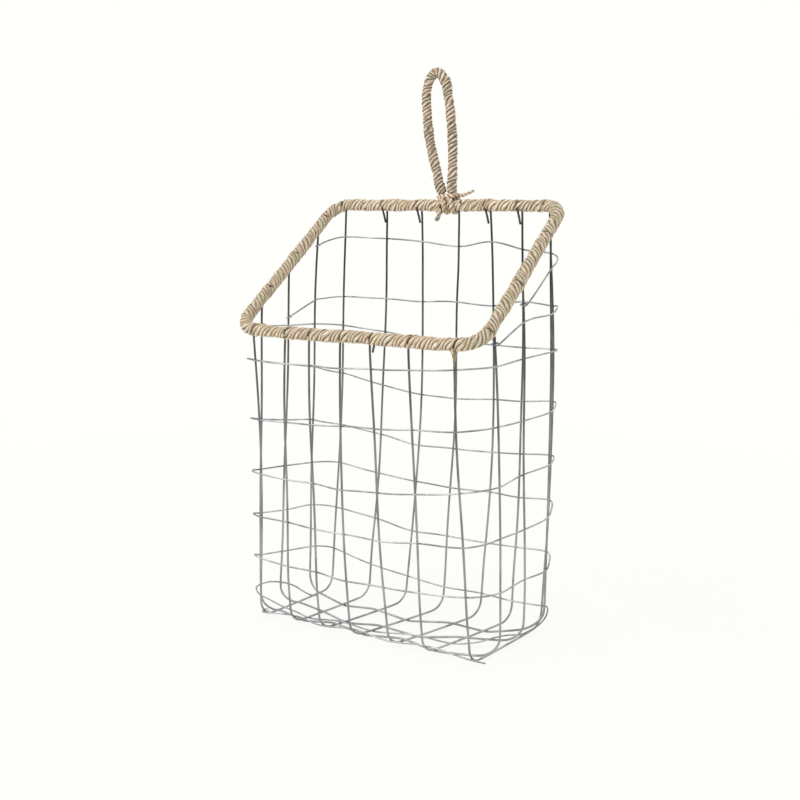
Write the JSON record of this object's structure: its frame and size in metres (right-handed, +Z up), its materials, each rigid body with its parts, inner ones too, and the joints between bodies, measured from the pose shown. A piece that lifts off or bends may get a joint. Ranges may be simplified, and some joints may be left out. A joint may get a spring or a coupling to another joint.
{
  "type": "wire storage basket",
  "caption": "Tall rectangular woven wire basket with a cord-wrapped rim that slopes to the front, and a wrapped loop on the back rim for hanging or carrying.",
  "frame": {"origin": "on the floor, in the middle of the basket's width and depth", "axes": "+X along the width, to the right as seen from the front; +Y from the low front to the high back; +Z up"},
  "size_m": [0.2662, 0.1679, 0.5164],
  "materials": {
    "wire": "dull, darkened zinc on drawn wire",
    "thin_wire": "dull zinc on thin drawn wire",
    "cord": "twisted dried grass, straw with olive and reddish strands",
    "lashing_cord": "twisted dried grass, slightly greener"
  },
  "bodies": {
    "basket": {"rim_core": "wire", "rim_wrap": "cord", "long_wire_1": "wire", "long_wire_2": "wire", "long_wire_3": "wire", "long_wire_4": "wire", "long_wire_5": "wire", "long_wire_6": "wire", "long_wire_7": "wire", "cross_wire_1": "wire", "cross_wire_2": "wire", "cross_wire_3": "wire", "top_weft_upper": "thin_wire", "top_weft_lower": "thin_wire", "spiral_weft": "thin_wire", "bottom_edge_wire": "thin_wire"},
    "loop": {"loop_core": "wire", "loop_wrap": "cord", "loop_lashing": "lashing_cord"}
  },
  "joints": [
    {"name": "loop_swing", "type": "hinge", "parent": "basket", "child": "loop", "pos_m": [0.005, 0.075, 0.39], "axis": [1, 0, 0], "range_deg": [-120, 120]}
  ]
}
